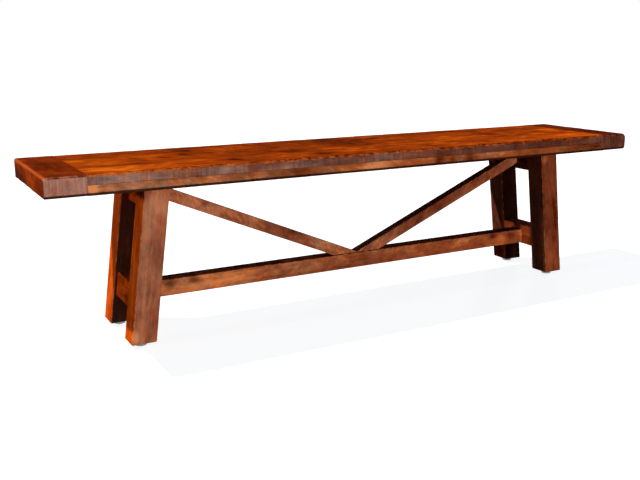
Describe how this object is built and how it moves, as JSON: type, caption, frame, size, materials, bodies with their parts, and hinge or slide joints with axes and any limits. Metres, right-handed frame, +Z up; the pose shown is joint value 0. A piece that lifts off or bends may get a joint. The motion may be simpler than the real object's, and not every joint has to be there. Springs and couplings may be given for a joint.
{
  "type": "dining bench",
  "caption": "Long backless dining bench: planked top with breadboard ends on leaning trestles, joined by a stretcher with rising braces, on levelling glides.",
  "frame": {"origin": "on the floor under the middle of the bench", "axes": "+X along the bench, +Y to its back, +Z up"},
  "size_m": [1.829, 0.364, 0.457],
  "materials": {
    "plank_wood": "satin, worn",
    "breadboard_wood": "satin, worn",
    "strip_wood": "satin, worn",
    "leg_wood": "satin, worn",
    "rail_wood": "satin, worn",
    "stretcher_wood": "satin, worn",
    "batten_wood": "plain",
    "plug_wood": "satin",
    "dowel_wood": "plain",
    "zinc_plated_steel": "plated",
    "screw_steel": "plated",
    "glide_metal": "polished",
    "sole_rubber": "matte"
  },
  "bodies": {
    "bench": {"batten_centre": "batten_wood", "batten_left": "batten_wood", "batten_right": "batten_wood", "batten_screws": "screw_steel", "batten_side_screws": "screw_steel", "brace_foot_screws": "screw_steel", "brace_head_screws": "screw_steel", "brace_left": "stretcher_wood", "brace_right": "stretcher_wood", "brace_screw_plugs": "plug_wood", "breadboard_left": "breadboard_wood", "breadboard_pegs": "dowel_wood", "breadboard_right": "breadboard_wood", "edge_strip_back": "strip_wood", "edge_strip_front": "strip_wood", "glide_inserts": "zinc_plated_steel", "leg_back_left": "leg_wood", "leg_back_right": "leg_wood", "leg_front_left": "leg_wood", "leg_front_right": "leg_wood", "lower_rail_left": "rail_wood", "lower_rail_right": "rail_wood", "plank_dowels": "dowel_wood", "stretcher": "stretcher_wood", "stretcher_bolt_plugs": "plug_wood", "stretcher_bolts": "zinc_plated_steel", "stretcher_cross_nuts": "zinc_plated_steel", "stretcher_dowels": "dowel_wood", "stretcher_washers": "zinc_plated_steel", "top_plank_back": "plank_wood", "top_plank_front": "plank_wood", "top_plank_middle": "plank_wood", "upper_rail_left": "rail_wood", "upper_rail_right": "rail_wood"},
    "foot_front_left": {"glide_base_front_left": "glide_metal", "glide_sole_front_left": "sole_rubber"},
    "stud_front_left": {"glide_stud_front_left": "glide_metal"},
    "foot_front_right": {"glide_base_front_right": "glide_metal", "glide_sole_front_right": "sole_rubber"},
    "stud_front_right": {"glide_stud_front_right": "glide_metal"},
    "foot_back_left": {"glide_base_back_left": "glide_metal", "glide_sole_back_left": "sole_rubber"},
    "stud_back_left": {"glide_stud_back_left": "glide_metal"},
    "foot_back_right": {"glide_base_back_right": "glide_metal", "glide_sole_back_right": "sole_rubber"},
    "stud_back_right": {"glide_stud_back_right": "glide_metal"}
  },
  "joints": [
    {"name": "foot_front_left_height", "type": "slide", "parent": "bench", "child": "foot_front_left", "axis": [0, 0, -1], "range_m": [0, 0.01]},
    {"name": "stud_front_left_turn", "type": "hinge", "parent": "foot_front_left", "child": "stud_front_left", "pos_m": [-0.68922, -0.096, 0], "axis": [0, 0, -1], "range_deg": [0, 2880]},
    {"name": "foot_front_right_height", "type": "slide", "parent": "bench", "child": "foot_front_right", "axis": [0, 0, -1], "range_m": [0, 0.01]},
    {"name": "stud_front_right_turn", "type": "hinge", "parent": "foot_front_right", "child": "stud_front_right", "pos_m": [0.68922, -0.096, 0], "axis": [0, 0, -1], "range_deg": [0, 2880]},
    {"name": "foot_back_left_height", "type": "slide", "parent": "bench", "child": "foot_back_left", "axis": [0, 0, -1], "range_m": [0, 0.01]},
    {"name": "stud_back_left_turn", "type": "hinge", "parent": "foot_back_left", "child": "stud_back_left", "pos_m": [-0.68922, 0.096, 0], "axis": [0, 0, -1], "range_deg": [0, 2880]},
    {"name": "foot_back_right_height", "type": "slide", "parent": "bench", "child": "foot_back_right", "axis": [0, 0, -1], "range_m": [0, 0.01]},
    {"name": "stud_back_right_turn", "type": "hinge", "parent": "foot_back_right", "child": "stud_back_right", "pos_m": [0.68922, 0.096, 0], "axis": [0, 0, -1], "range_deg": [0, 2880]}
  ],
  "couplings": [
    {"joint": "stud_front_left_turn", "follows": "foot_front_left_height", "rad_per_m": 5026.5},
    {"joint": "stud_front_right_turn", "follows": "foot_front_right_height", "rad_per_m": 5026.5},
    {"joint": "stud_back_left_turn", "follows": "foot_back_left_height", "rad_per_m": 5026.5},
    {"joint": "stud_back_right_turn", "follows": "foot_back_right_height", "rad_per_m": 5026.5}
  ]
}
